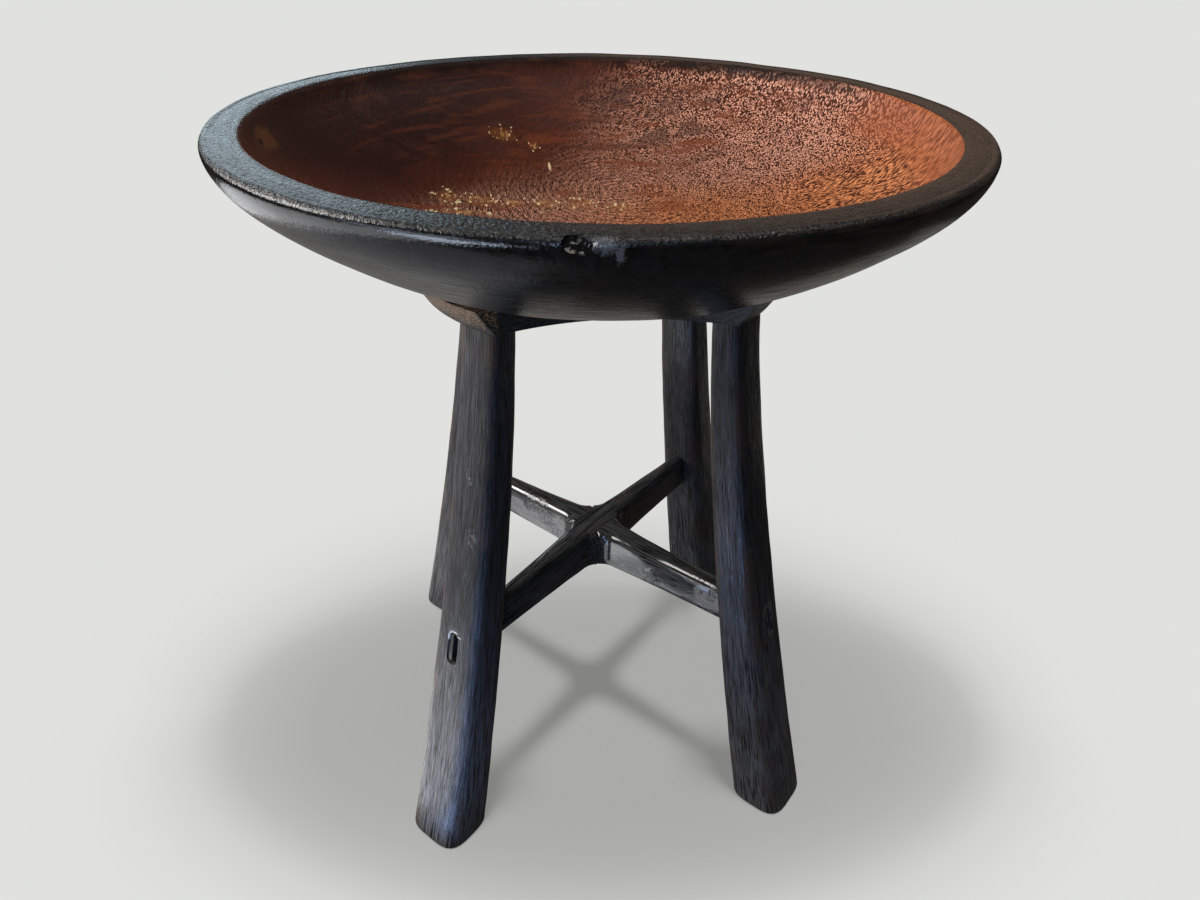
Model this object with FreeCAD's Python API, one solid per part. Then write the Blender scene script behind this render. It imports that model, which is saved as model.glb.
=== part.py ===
import FreeCAD, Part
import math
import os

V = FreeCAD.Vector
UP = V(0, 0, 1)
ORIGIN = V(0, 0, 0)

# Overall sizes, in millimetres
table_height = 617.0
bowl_diameter = 563.0
bowl_height = 104.0
plate_thickness = 22.0

# Bowl: a flat rim band, a short upright wall and a dished underside that ends in a flat foot
rim_width = 27.0
rim_outer_round = 6.0
rim_inner_round = 3.0
bowl_foot_radius = 112.0
bowl_floor_thickness = 23.0

# Bearer plate: a round board, sloping in below, whose front and back edges are hollowed between the legs
plate_radius = 160.0
plate_lower_radius = 146.0
plate_waist = 96.0
plate_hollow_radius = 200.0
plate_edge_round = 4.0

# Legs: square-shouldered ovals set on the diagonals, kicking outwards and wider at the floor
leg_top_radius = 131.4
leg_foot_radius = 223.6
leg_kick = 1.3
leg_top_width = 37.5
leg_top_depth = 27.5
leg_foot_width = 59.5
leg_foot_depth = 54.5
leg_top_squareness = 3.8
leg_foot_squareness = 3.6
leg_foot_round = 4.0
leg_stations = 9
leg_outline_points = 32

# Stub tenon at the head of each leg
stub_width = 24.0
stub_depth = 13.0
stub_length = 16.0
stub_hole_extra = 1.0

# Stretcher rails, halved together where they cross and carved into one another in the corners
rail_middle_height = 38.0
rail_end_height = 34.0
rail_middle_width = 27.0
rail_end_width = 15.5
rail_top_level = 232.0
rail_end_drop = 4.0
rail_flare = 1.8
rail_corner_radius = 18.0
rail_upper_round = 4.5
rail_lower_round = 2.0

# Through tenons and the wedges that lock them
mortise_width = 10.0
mortise_height = 30.0
tenon_recess = 1.5
wedge_outer_thickness = 4.2
wedge_inner_thickness = 3.2
wedge_recess = 5.0
wedge_short_of_shoulder = 3.0

# Wood screws that hold the bowl down on the plate
screw_circle_radius = 68.0
screw_radius = 2.5
screw_head_radius = 5.0
screw_length = 36.0
screw_point_length = 5.0
screw_head_sink = 0.5
screw_slot_width = 1.2
screw_slot_depth = 1.4

# Shared fits
glue_line = 0.1
screw_hole_play = 0.05
screw_shank_play = 0.4

# Sizes that follow from the ones above
bowl_radius = bowl_diameter / 2
plate_top = table_height - bowl_height
leg_height = plate_top - plate_thickness
rail_bottom_level = rail_top_level - rail_middle_height
tenon_level = rail_top_level - rail_end_drop - rail_end_height / 2
lap_level = rail_top_level - rail_middle_height / 2
rail_hub = rail_middle_width / 2
wedge_overrun = 2 * mortise_width

# Leg places, by the angle of each leg about the middle of the table
leg_angles = {
    "front_left": 225.0,
    "front_right": 315.0,
    "back_right": 45.0,
    "back_left": 135.0,
}


def placed(shape, angle):
    """Copy of a shape turned about the upright middle axis of the table."""
    copy = shape.copy()
    copy.rotate(ORIGIN, UP, angle)
    return copy


def moved(shape, x=0.0, y=0.0, z=0.0):
    """Copy of a shape carried along the axes."""
    copy = shape.copy()
    copy.translate(V(x, y, z))
    return copy


def rounded_section(corners, rounds, place):
    """Closed wire of a rectangle with four rounded corners; place puts (a, b) into space."""
    edges = []
    count = len(corners)
    middle_a = sum(corner[0] for corner in corners) / count
    middle_b = sum(corner[1] for corner in corners) / count
    starts = []
    ends = []
    mids = []
    for (a, b), size in zip(corners, rounds):
        side_a = math.copysign(1, middle_a - a)
        side_b = math.copysign(1, middle_b - b)
        along_a = (a + side_a * size, b)
        along_b = (a, b + side_b * size)
        slack = size * (1 - math.sqrt(0.5))
        mids.append((a + side_a * slack, b + side_b * slack))
        turns_from_a = side_a * side_b > 0
        starts.append(along_b if turns_from_a else along_a)
        ends.append(along_a if turns_from_a else along_b)
    for index in range(count):
        following = (index + 1) % count
        edges.append(Part.Arc(place(*starts[index]), place(*mids[index]), place(*ends[index])).toShape())
        edges.append(Part.makeLine(place(*ends[index]), place(*starts[following])))
    return Part.Wire(edges)


def rectangle(low_a, high_a, low_b, high_b):
    """Corners of a rectangle, counter-clockwise."""
    return [(low_a, low_b), (high_a, low_b), (high_a, high_b), (low_a, high_b)]


def bowl_solid():
    """Bowl turned from one profile: floor, inside wall, rim, outside wall and foot."""
    reach = bowl_radius - bowl_foot_radius
    outside_stations = [
        (0.15, 0.986), (0.24, 0.95), (0.41, 0.84), (0.58, 0.70), (0.76, 0.52), (0.89, 0.35), (0.96, 0.185),
    ]
    wall_top = rim_outer_round + 2.0
    outside = [V(bowl_radius, 0, table_height - wall_top)]
    for depth_share, reach_share in outside_stations:
        outside.append(V(bowl_foot_radius + reach * reach_share, 0, table_height - bowl_height * depth_share))
    outside.append(V(bowl_foot_radius, 0, plate_top))
    outside_curve = Part.BSplineCurve()
    outside_curve.interpolate(outside)

    inner_radius = bowl_radius - rim_width
    inner_depth = bowl_height - bowl_floor_thickness
    inside_stations = [(0.20, 0.972), (0.45, 0.90), (0.675, 0.79), (0.85, 0.65), (0.945, 0.45), (0.988, 0.22)]
    inside = [V(inner_radius, 0, table_height - rim_inner_round)]
    for depth_share, radius_share in inside_stations:
        inside.append(V(inner_radius * radius_share, 0, table_height - inner_depth * depth_share))
    inside.append(V(0, 0, table_height - inner_depth))
    inside_curve = Part.BSplineCurve()
    inside_curve.interpolate(inside)

    slack = 1 - math.sqrt(0.5)
    inner_edge = Part.Arc(
        V(inner_radius, 0, table_height - rim_inner_round),
        V(inner_radius + rim_inner_round * slack, 0, table_height - rim_inner_round * slack),
        V(inner_radius + rim_inner_round, 0, table_height),
    )
    outer_edge = Part.Arc(
        V(bowl_radius - rim_outer_round, 0, table_height),
        V(bowl_radius - rim_outer_round * slack, 0, table_height - rim_outer_round * slack),
        V(bowl_radius, 0, table_height - rim_outer_round),
    )
    edges = [
        inside_curve.toShape(),
        inner_edge.toShape(),
        Part.makeLine(V(inner_radius + rim_inner_round, 0, table_height),
                      V(bowl_radius - rim_outer_round, 0, table_height)),
        outer_edge.toShape(),
        Part.makeLine(V(bowl_radius, 0, table_height - rim_outer_round), outside[0]),
        outside_curve.toShape(),
        Part.makeLine(outside[-1], V(0, 0, plate_top)),
        Part.makeLine(V(0, 0, plate_top), inside[-1]),
    ]
    profile = Part.Wire(Part.__sortEdges__(edges))
    bowl = Part.Face(profile).revolve(ORIGIN, UP, 360)
    for hole in screw_holes(screw_radius + screw_hole_play, screw_tip_level() + 1.0, plate_top):
        bowl = bowl.cut(hole)
    return bowl


def screw_tip_level():
    """Height of the points of the screws, which stand point upwards."""
    return plate_top - plate_thickness + screw_head_sink + screw_length


def screw_places():
    """Middles of the four screws on their circle, midway between the legs."""
    places = []
    for quarter in range(4):
        angle = math.radians(90.0 * quarter)
        places.append((screw_circle_radius * math.cos(angle), screw_circle_radius * math.sin(angle)))
    return places


def screw_holes(radius, top, bottom):
    """Upright round holes at the screw places, ending in a drilled cone at the top."""
    holes = []
    low = bottom - 1.0
    for x, y in screw_places():
        bore = Part.makeCylinder(radius, top - low - screw_point_length, V(x, y, low))
        cone = Part.makeCone(radius, 0, screw_point_length + 1.0, V(x, y, top - screw_point_length))
        holes.append(bore.fuse(cone))
    return holes


def screws_group():
    """Four countersunk slotted wood screws, driven upwards through the plate."""
    head_height = screw_head_radius - screw_radius
    under = plate_top - plate_thickness + screw_head_sink
    screws = []
    for x, y in screw_places():
        head = Part.makeCone(screw_head_radius, screw_radius, head_height, V(x, y, under))
        shank_length = screw_length - head_height - screw_point_length
        shank = Part.makeCylinder(screw_radius, shank_length, V(x, y, under + head_height))
        point = Part.makeCone(screw_radius, 0, screw_point_length, V(x, y, under + screw_length - screw_point_length))
        slot = Part.makeBox(
            2 * screw_head_radius + 2, screw_slot_width, screw_slot_depth + 1,
            V(x - screw_head_radius - 1, y - screw_slot_width / 2, under - 1),
        )
        screw = head.fuse([shank, point]).removeSplitter().cut(slot)
        screws.append(screw)
    return Part.makeCompound(screws)


def leg_share(z):
    """How far down the leg a height lies: 0 at the head, 1 at the floor."""
    return (leg_height - z) / leg_height


def leg_middle(z):
    """Distance of the middle of a leg from the table's axis at a height."""
    return leg_top_radius + (leg_foot_radius - leg_top_radius) * leg_share(z) ** leg_kick


def leg_width(z):
    return leg_top_width + (leg_foot_width - leg_top_width) * leg_share(z)


def leg_depth(z):
    return leg_top_depth + (leg_foot_depth - leg_top_depth) * leg_share(z)


def leg_squareness(z):
    """Power of the leg's outline: 2 is an ellipse, more is squarer."""
    return leg_top_squareness + (leg_foot_squareness - leg_top_squareness) * leg_share(z)


def leg_section(z):
    """Level outline of a leg that stands out along +X, drawn round from its side."""
    middle = leg_middle(z)
    half_depth = leg_depth(z) / 2
    half_width = leg_width(z) / 2
    power = 2 / leg_squareness(z)
    points = []
    for index in range(leg_outline_points):
        angle = math.radians(90 + 360 * index / leg_outline_points)
        out = math.copysign(abs(math.cos(angle)) ** power, math.cos(angle))
        side = math.copysign(abs(math.sin(angle)) ** power, math.sin(angle))
        points.append(V(middle + half_depth * out, half_width * side, z))
    outline = Part.BSplineCurve()
    outline.interpolate(points, PeriodicFlag=True)
    return Part.Wire(outline.toShape())


def leg_blank():
    """Leg along +X without its joints."""
    levels = [leg_height * index / (leg_stations - 1) for index in range(leg_stations)]
    leg = Part.makeLoft([leg_section(z) for z in levels], True, False)
    foot_edges = [edge for edge in leg.Edges if edge.BoundBox.ZMax < 0.001]
    return leg.makeFillet(leg_foot_round, foot_edges)


def stub(extra, length):
    """Stub tenon of a leg along +X, or the hole for it when extra is more than nothing."""
    half_depth = stub_depth / 2 + extra
    half_width = stub_width / 2 + extra
    corners = rectangle(leg_top_radius - half_depth, leg_top_radius + half_depth, -half_width, half_width)
    size = half_depth * 0.6
    wire = rounded_section(corners, [size] * 4, lambda a, b: V(a, b, leg_height - 1))
    return Part.Face(wire).extrude(V(0, 0, length + 1))


def slot_prism(width, height, start, end):
    """Round-ended upright slot running outwards along +X at the height of the tenons."""
    size = width / 2 * 0.98
    corners = rectangle(-width / 2, width / 2, tenon_level - height / 2, tenon_level + height / 2)
    wire = rounded_section(corners, [size] * 4, lambda a, b: V(start, a, b))
    return Part.Face(wire).extrude(V(end - start, 0, 0))


def leg_solid(blank):
    """Leg along +X with its stub tenon and the through mortise for a rail."""
    leg = blank.fuse(stub(0.0, stub_length)).removeSplitter()
    middle = leg_middle(tenon_level)
    depth = leg_depth(tenon_level)
    return leg.cut(slot_prism(mortise_width, mortise_height, middle - depth, middle + depth))


def plate_solid():
    """Bearer plate with its hollowed edges, blind mortises and countersunk screw holes."""
    bottom = leg_height
    plate = Part.makeCone(plate_lower_radius, plate_radius, plate_thickness, V(0, 0, bottom))
    for side in (-1, 1):
        hollow = Part.makeCylinder(
            plate_hollow_radius, plate_thickness + 2,
            V(0, side * (plate_waist + plate_hollow_radius), bottom - 1),
        )
        plate = plate.cut(hollow)
    upright = []
    for edge in plate.Edges:
        if edge.BoundBox.ZLength > plate_thickness / 2 and abs(edge.CenterOfMass.y) > plate_waist:
            upright.append(edge)
    plate = plate.makeFillet(plate_edge_round * 2, upright)
    low_edges = [edge for edge in plate.Edges if edge.BoundBox.ZMax < bottom + 0.001]
    plate = plate.makeFillet(plate_edge_round, low_edges)
    for angle in leg_angles.values():
        plate = plate.cut(placed(stub(glue_line, stub_length + stub_hole_extra), angle))
    head_height = screw_head_radius - screw_radius
    sink_reach = screw_head_sink + head_height + screw_shank_play
    for x, y in screw_places():
        hole = Part.makeCylinder(screw_radius + screw_shank_play, plate_thickness + 2, V(x, y, bottom - 1))
        sink = Part.makeCone(
            screw_head_radius + screw_shank_play + screw_head_sink, screw_radius, sink_reach, V(x, y, bottom),
        )
        plate = plate.cut(hole).cut(sink)
    return plate


def rail_share(x):
    """How far out along a rail a place lies: 0 at the hub, 1 at the middle of the leg."""
    return max(0.0, (x - rail_hub) / (leg_middle(tenon_level) - rail_hub))


def rail_half_width(x):
    """Half the width of a rail's arm, with the hollow corner that runs into the next arm."""
    flare = (1 - rail_share(x)) ** rail_flare
    width = rail_end_width + (rail_middle_width - rail_end_width) * flare
    into_corner = max(0.0, rail_hub + rail_corner_radius - x)
    hollow = rail_corner_radius - math.sqrt(rail_corner_radius ** 2 - into_corner ** 2)
    return width / 2 + hollow


def rail_length(stations):
    """Length of rail along +X drawn through its sections at the stations."""
    wires = []
    for x in stations:
        half_width = rail_half_width(x)
        share = rail_share(x)
        height = rail_middle_height + (rail_end_height - rail_middle_height) * share
        top = rail_top_level - rail_end_drop * share
        corners = rectangle(-half_width, half_width, top - height, top)
        rounds = [rail_lower_round, rail_lower_round, rail_upper_round, rail_upper_round]
        wires.append(rounded_section(corners, rounds, lambda a, b, x=x: V(x, a, b)))
    return Part.makeLoft(wires, True, False)


def rail_arm():
    """One arm of a rail along +X, mitred in the corners where the next arms begin."""
    reach = leg_middle(tenon_level)
    corner_end = rail_hub + rail_corner_radius
    corner_stations = [rail_hub + rail_corner_radius * share for share in (0.1, 0.28, 0.46, 0.64, 0.82, 1.0)]
    arm_stations = [corner_end + (reach - corner_end) * share for share in (0.0, 0.25, 0.5, 0.75, 1.0)]
    root = Part.makeBox(
        rail_corner_radius * 0.1, 2 * corner_end, rail_middle_height, V(rail_hub, -corner_end, rail_bottom_level),
    )
    arm = root.fuse([rail_length(corner_stations), rail_length(arm_stations)])
    far = reach * 2
    low = rail_bottom_level - rail_middle_height
    points = [V(glue_line, 0, low), V(far, glue_line - far, low), V(far, far - glue_line, low)]
    mitre = Part.Face(Part.makePolygon(points + points[:1]))
    return arm.common(mitre.extrude(V(0, 0, 3 * rail_middle_height)))


def rail_body():
    """Rail along X before its ends and its halving are cut."""
    arm = rail_arm()
    core = Part.makeBox(
        rail_middle_width, rail_middle_width - 2 * glue_line, rail_middle_height,
        V(-rail_hub, -rail_hub + glue_line, rail_bottom_level),
    )
    return core.fuse([arm, placed(arm, 180)]).removeSplitter()


def halving(low, high):
    """Space across a rail's middle for the other rail, between two heights."""
    length = rail_middle_width + 2 * glue_line
    return Part.makeBox(length, 2 * length, high - low, V(-length / 2, -length, low))


def wedge_space(extra, reach):
    """Tapered space beside a tenon along +X, at its right-hand cheek seen from outside."""
    middle = leg_middle(tenon_level)
    inner = middle - leg_depth(tenon_level) / 2 + wedge_short_of_shoulder
    outer = middle + leg_depth(tenon_level) / 2
    taper = (wedge_outer_thickness - wedge_inner_thickness) / (outer - inner)
    far = mortise_width / 2 + 2.0
    near_inner = mortise_width / 2 - wedge_inner_thickness - extra
    near_outer = near_inner - taper * (outer + reach - inner)
    low = tenon_level - mortise_height
    points = [
        V(inner - extra, near_inner, low),
        V(outer + reach, near_outer, low),
        V(outer + reach, far, low),
        V(inner - extra, far, low),
    ]
    face = Part.Face(Part.makePolygon(points + points[:1]))
    return face.extrude(V(0, 0, 2 * mortise_height))


def tenon_core(play):
    """Slot-shaped bar through the leg along +X, less a play all round."""
    middle = leg_middle(tenon_level)
    depth = leg_depth(tenon_level)
    return slot_prism(mortise_width - 2 * play, mortise_height - 2 * play, middle - depth, middle + depth)


def rail_solid(body, blank, space):
    """Rail along X with scribed shoulders, through tenons at both ends and its halving."""
    rail = body
    scribe = moved(blank, x=-glue_line)
    tenon = tenon_core(glue_line).common(moved(blank, x=-tenon_recess)).cut(wedge_space(glue_line, wedge_overrun))
    for angle in (0, 180):
        rail = rail.cut(placed(scribe, angle))
        rail = rail.fuse(placed(tenon, angle))
    return rail.removeSplitter().cut(space)


def wedge_solid(blank):
    """Wedge along +X beside the tenon, its outer end set back in the mortise."""
    return wedge_space(0.0, wedge_overrun).common(tenon_core(glue_line)).common(moved(blank, x=-wedge_recess))


os.makedirs("parts", exist_ok=True)

pieces = {}
pieces["bowl"] = bowl_solid()
pieces["bearer_plate"] = plate_solid()
pieces["bowl_screws"] = screws_group()

blank = leg_blank()
leg = leg_solid(blank)
wedge = wedge_solid(blank)
for name, angle in leg_angles.items():
    pieces[name + "_leg"] = placed(leg, angle)
    pieces[name + "_wedge"] = placed(wedge, angle)

body = rail_body()
below = halving(rail_bottom_level - rail_middle_height, lap_level)
above = halving(lap_level - glue_line, rail_top_level + rail_middle_height)
pieces["upper_rail"] = placed(rail_solid(body, blank, below), leg_angles["front_left"])
pieces["lower_rail"] = placed(rail_solid(body, blank, above), leg_angles["front_right"])

for name, shape in pieces.items():
    shape.exportStep("parts/" + name + ".step")
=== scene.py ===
import bpy
import math
from mathutils import Matrix, Vector


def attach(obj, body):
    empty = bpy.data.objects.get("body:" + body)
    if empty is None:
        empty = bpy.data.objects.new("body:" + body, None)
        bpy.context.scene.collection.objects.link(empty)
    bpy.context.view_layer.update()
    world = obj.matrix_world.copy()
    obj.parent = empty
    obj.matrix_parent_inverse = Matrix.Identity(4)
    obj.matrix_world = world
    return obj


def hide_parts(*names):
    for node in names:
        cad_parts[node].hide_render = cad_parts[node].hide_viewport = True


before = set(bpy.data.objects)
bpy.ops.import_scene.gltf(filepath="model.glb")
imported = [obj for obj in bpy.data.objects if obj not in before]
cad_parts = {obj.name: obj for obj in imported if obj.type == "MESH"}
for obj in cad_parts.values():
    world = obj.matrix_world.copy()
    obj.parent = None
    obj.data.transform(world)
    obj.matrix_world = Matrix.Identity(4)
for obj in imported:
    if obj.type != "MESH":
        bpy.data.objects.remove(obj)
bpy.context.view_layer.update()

# Sizes of the table as in the solids: lengths in metres, and kick, squareness and flare as powers
table_height = 0.617
bowl_height = 0.104
plate_thickness = 0.022
plate_radius = 0.160
plate_lower_radius = 0.146
plate_waist = 0.096
plate_hollow_radius = 0.200
leg_top_radius = 0.1314
leg_foot_radius = 0.2236
leg_kick = 1.3
leg_top_width = 0.0375
leg_top_depth = 0.0275
leg_foot_width = 0.0595
leg_foot_depth = 0.0545
leg_top_squareness = 3.8
leg_foot_squareness = 3.6
leg_foot_round = 0.0025
rail_middle_height = 0.038
rail_middle_width = 0.027
rail_end_width = 0.0155
rail_top_level = 0.232
rail_end_drop = 0.004
rail_end_height = 0.034
rail_flare = 1.8
rail_corner_radius = 0.018
rail_upper_round = 0.007
rail_lower_round = 0.002
mortise_width = 0.010
mortise_height = 0.030
tenon_recess = 0.0015
screw_circle_radius = 0.068
glue_line = 0.0001

# Tenon ends narrower than in the solids, so that the dark slit beside each one shows
tenon_end_width = 0.0038
tenon_root = 0.004

# Hand work in metres: swells as their distance and height, small cuts and wear, a painted highlight at each
# slot's upper end, and a painted tan highlight along the plate's upper edge
bowl_swell = (0.16, 0.0022)
bowl_tool_marks = (0.035, 0.0004)
leg_swell = (0.07, 0.0016)
rail_swell = (0.04, 0.0009)
chip_swell = (0.006, 0.005)
mortise_lip = 0.0011
mortise_lip_depth = 0.003
foot_wear_height = 0.004
slot_wear_and_highlight_reach = 0.005
hub_wear_reach = 0.07
plate_highlight_height = 0.008
plate_round = 0.0035
countersink_radius = 0.0064
screw_hole_radius = 0.0027
countersink_depth = 0.0044
countersink_overlap = 0.0005

# How far cutters reach past a piece, how close points are at one place, and steps of the meshes
cutter_overlap = 0.02
halving_overlap = 0.01
same_place = 0.0001
leg_rings = 28
bowl_sides = 128
bowl_start_radius = 0.02
plate_sides = 192
hollow_sides = 256

# Where each piece's grain starts, so that no two pieces are alike
leg_grain_step = 0.731
rail_grain_start = 3.17
rail_grain_step = 0.57

plate_top = table_height - bowl_height
leg_height = plate_top - plate_thickness
tenon_level = rail_top_level - rail_end_drop - rail_end_height / 2
lap_level = rail_top_level - rail_middle_height / 2
rail_bottom_level = rail_top_level - rail_middle_height
rail_hub = rail_middle_width / 2

leg_angles = {"front_left": 225, "front_right": 315, "back_right": 45, "back_left": 135}

# Profile of the bowl, from the foot up the outside, over the rim and down the inside:
# radius and depth below the rim, in millimetres
bowl_outside = [
    (60, 104), (104, 104), (111, 104), (113.5, 103.7), (143.5, 100.3), (172, 92.9), (201, 79.2),
    (231.4, 60.2), (255, 42.3), (268.5, 30.1), (276.4, 20.4), (280.4, 12.2), (281.9, 6.2), (281.3, 2.6),
    (279.2, 0.6),
]
bowl_rim = [(277, 0.2), (275.4, 0.8), (274.2, 1.0), (272.6, 0.5), (265.5, 0.3), (258.6, 0.4), (256, 1.6)]
bowl_inside = [
    (254.6, 4.0), (252.8, 8.6), (247.6, 17.7), (239.8, 26.8), (229.3, 37.0), (216.4, 46.5), (201.2, 55.2),
    (184, 62.6), (165.4, 68.9), (140.8, 73.7), (114.6, 76.6), (85.5, 78.7), (56.3, 80.0), (25, 80.9),
]
rim_edge_radius = 0.2572
chip_place = (-0.0475, -0.2805, 0.6145)
chip_size = (0.019, 0.018, 0.013)
chip_turn = math.radians(-10)


def clear_selection():
    """Leave nothing selected, so an operator acts on the new piece alone."""
    bpy.ops.object.select_all(action="DESELECT")


def select_only(piece):
    """Select a piece alone and make it the active one."""
    clear_selection()
    piece.select_set(True)
    bpy.context.view_layer.objects.active = piece


def open_for_editing(piece):
    select_only(piece)
    bpy.ops.object.mode_set(mode="EDIT")


def close_editing():
    """Leave edit mode with doubles merged and the faces turned outwards."""
    bpy.ops.mesh.select_all(action="SELECT")
    bpy.ops.mesh.remove_doubles(threshold=0.00001)
    bpy.ops.mesh.normals_make_consistent(inside=False)
    bpy.ops.object.mode_set(mode="OBJECT")


def apply_modifier(piece, kind, **settings):
    select_only(piece)
    modifier = piece.modifiers.new(kind.lower(), kind)
    for name, value in settings.items():
        setattr(modifier, name, value)
    bpy.ops.object.modifier_apply(modifier=modifier.name)


def cut_away(piece, cutter):
    """Take the cutter's shape out of a piece and throw the cutter away."""
    apply_modifier(piece, "BOOLEAN", operation="DIFFERENCE", solver="EXACT", object=cutter)
    bpy.data.objects.remove(cutter)


def make_uneven(piece, size, height):
    """Give a piece the low swells and hollows of hand work."""
    texture = bpy.data.textures.new(piece.name + "_swell", "CLOUDS")
    texture.noise_scale = size
    texture.noise_depth = 2
    apply_modifier(piece, "DISPLACE", texture=texture, texture_coords="LOCAL", strength=height, mid_level=0.5)


def turn_about_axis(piece, angle):
    """Turn a piece about the table's upright axis and leave its place in its mesh."""
    select_only(piece)
    piece.rotation_euler = (0, 0, math.radians(angle))
    bpy.ops.object.transform_apply(location=True, rotation=True, scale=True)


def finish_piece(piece, slot, *nodes, angle=35):
    """Smooth the piece, let it stand for its solids and ride on the table."""
    select_only(piece)
    bpy.ops.object.shade_smooth_by_angle(angle=math.radians(angle))
    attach(piece, "root")
    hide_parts(*nodes)


def keep_coordinates(piece, name, place):
    """Store a vector at each point, so a pattern can follow the piece."""
    layer = piece.data.attributes.new(name, "FLOAT_VECTOR", "POINT")
    for vertex, item in zip(piece.data.vertices, layer.data):
        item.vector = place(vertex.co)


def select_points(piece, test):
    """Open a piece for editing with the points that pass a test selected."""
    bpy.ops.object.mode_set(mode="OBJECT")
    open_for_editing(piece)
    bpy.ops.mesh.select_mode(type="VERT")
    bpy.ops.mesh.select_all(action="DESELECT")
    bpy.ops.object.mode_set(mode="OBJECT")
    for vertex in piece.data.vertices:
        vertex.select = test(vertex.co)
    bpy.ops.object.mode_set(mode="EDIT")


def bevel_edges(piece, test, size, segments):
    """Round the edges whose two ends pass a test."""
    open_for_editing(piece)
    bpy.ops.mesh.select_mode(type="EDGE")
    bpy.ops.mesh.select_all(action="DESELECT")
    bpy.ops.object.mode_set(mode="OBJECT")
    points = piece.data.vertices
    for edge in piece.data.edges:
        first, second = edge.vertices
        edge.select = test(points[first].co, points[second].co)
    bpy.ops.object.mode_set(mode="EDIT")
    bpy.ops.mesh.bevel(offset=size, offset_type="OFFSET", segments=segments, profile=0.5, affect="EDGES")
    close_editing()


def rising(value, low, high):
    """Nothing below the first value, one at the second and more beyond it."""
    return max(0.0, (value - low) / (high - low))


def falling(distance, reach):
    """One at no distance, down to nothing at the reach and beyond it."""
    return max(0.0, 1 - distance / reach)


def leg_share(level):
    """Share of the way down a leg, from its head to the floor."""
    return min(1.0, max(0.0, (leg_height - level) / leg_height))


def leg_middle(level):
    return leg_top_radius + (leg_foot_radius - leg_top_radius) * leg_share(level) ** leg_kick


def leg_width(level):
    return leg_top_width + (leg_foot_width - leg_top_width) * leg_share(level)


def leg_depth(level):
    return leg_top_depth + (leg_foot_depth - leg_top_depth) * leg_share(level)


def carve_bowl():
    """Bowl drawn out ring by ring from the middle of its foot, then smoothed and made uneven."""
    clear_selection()
    radius = bowl_start_radius
    level = plate_top
    bpy.ops.mesh.primitive_circle_add(
        vertices=bowl_sides, radius=radius, fill_type="TRIFAN", location=(0, 0, level)
    )
    bowl = bpy.context.object
    bowl.name = "carved_bowl"
    bpy.ops.object.transform_apply(location=True)
    bpy.ops.object.mode_set(mode="EDIT")
    bpy.ops.mesh.select_all(action="SELECT")
    bpy.ops.mesh.region_to_loop()
    for ring_radius, ring_depth in bowl_outside + bowl_rim + bowl_inside:
        new_radius = ring_radius / 1000
        new_level = table_height - ring_depth / 1000
        scale = new_radius / radius
        bpy.ops.mesh.extrude_region_move(TRANSFORM_OT_translate={"value": (0, 0, new_level - level)})
        bpy.ops.transform.resize(value=(scale, scale, 1), center_override=(0, 0, new_level))
        radius = new_radius
        level = new_level
    bpy.ops.mesh.extrude_region_move(TRANSFORM_OT_translate={"value": (0, 0, -same_place)})
    bpy.ops.mesh.merge(type="CENTER")
    close_editing()
    apply_modifier(bowl, "SUBSURF", levels=2, render_levels=2)
    make_uneven(bowl, *bowl_swell)
    make_uneven(bowl, *bowl_tool_marks)
    clear_selection()
    bpy.ops.mesh.primitive_ico_sphere_add(subdivisions=4, radius=0.5, location=chip_place)
    chip = bpy.context.object
    chip.name = "chip"
    chip.scale = chip_size
    chip.rotation_euler = (0, 0, chip_turn)
    bpy.ops.object.transform_apply(location=True, rotation=True, scale=True)
    make_uneven(chip, *chip_swell)
    cut_away(bowl, chip)
    return bowl


def slot_outline(name, width, height):
    """Round-cornered upright rectangle across X, open for editing."""
    clear_selection()
    bpy.ops.mesh.primitive_plane_add(size=1, rotation=(0, math.radians(90), 0))
    piece = bpy.context.object
    piece.name = name
    bpy.ops.object.transform_apply(rotation=True)
    bpy.ops.object.mode_set(mode="EDIT")
    bpy.ops.mesh.select_all(action="SELECT")
    bpy.ops.transform.resize(value=(1, width, height), center_override=(0, 0, 0))
    bpy.ops.mesh.bevel(affect="VERTICES", offset=width * 0.49, offset_type="OFFSET", segments=5, profile=0.5)
    bpy.ops.mesh.select_all(action="SELECT")
    return piece


def slot_bar(name, width, height, start, end, lip=0.0):
    """Bar along X at the tenons' height; a lip widens it past its outer end."""
    piece = slot_outline(name, width, height)
    bpy.ops.transform.translate(value=(start, 0, tenon_level))
    bpy.ops.mesh.extrude_region_move(TRANSFORM_OT_translate={"value": (end - start, 0, 0)})
    if lip > 0:
        bpy.ops.mesh.extrude_region_move(TRANSFORM_OT_translate={"value": (lip * 3, 0, 0)})
        wider = (1, 1 + 2 * lip / width, 1 + 2 * lip / height)
        bpy.ops.transform.resize(value=wider, center_override=(0, 0, tenon_level))
        bpy.ops.mesh.extrude_region_move(TRANSFORM_OT_translate={"value": (cutter_overlap, 0, 0)})
    close_editing()
    return piece


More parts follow.
